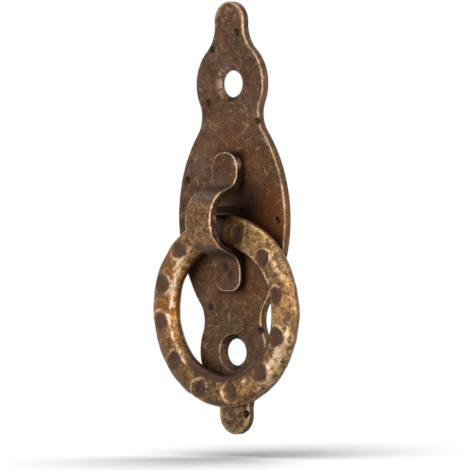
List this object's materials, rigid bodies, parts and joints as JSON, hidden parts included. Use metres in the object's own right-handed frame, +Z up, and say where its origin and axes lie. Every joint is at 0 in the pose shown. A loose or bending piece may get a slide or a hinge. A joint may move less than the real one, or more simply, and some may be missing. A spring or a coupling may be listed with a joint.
{
  "type": "ring pull",
  "caption": "Hammered ring hanging in a bent strap on a shaped, screw-fixed backplate, in aged brass.",
  "frame": {"origin": "centre of the backplate's back face, halfway between the two screw holes", "axes": "+Z up the backplate, the front faces -Y, +X to the right as seen from the front"},
  "size_m": [0.0358, 0.011, 0.0808],
  "materials": {
    "backplate": "dark antique patina, mottled, worn to bare brass along the edges",
    "strap": "antique patina, brushed bright on the bends and edges",
    "ring": "hammered and handled, bright on the high spots and dark in the hollows"
  },
  "bodies": {
    "base": {"backplate": "backplate", "strap": "strap"},
    "ring": {"ring": "ring"}
  },
  "joints": [
    {"name": "ring_swing", "type": "hinge", "parent": "base", "child": "ring", "pos_m": [0, -0.004, -0.0016], "axis": [-1, 0, 0], "range_deg": [0, 120]}
  ]
}
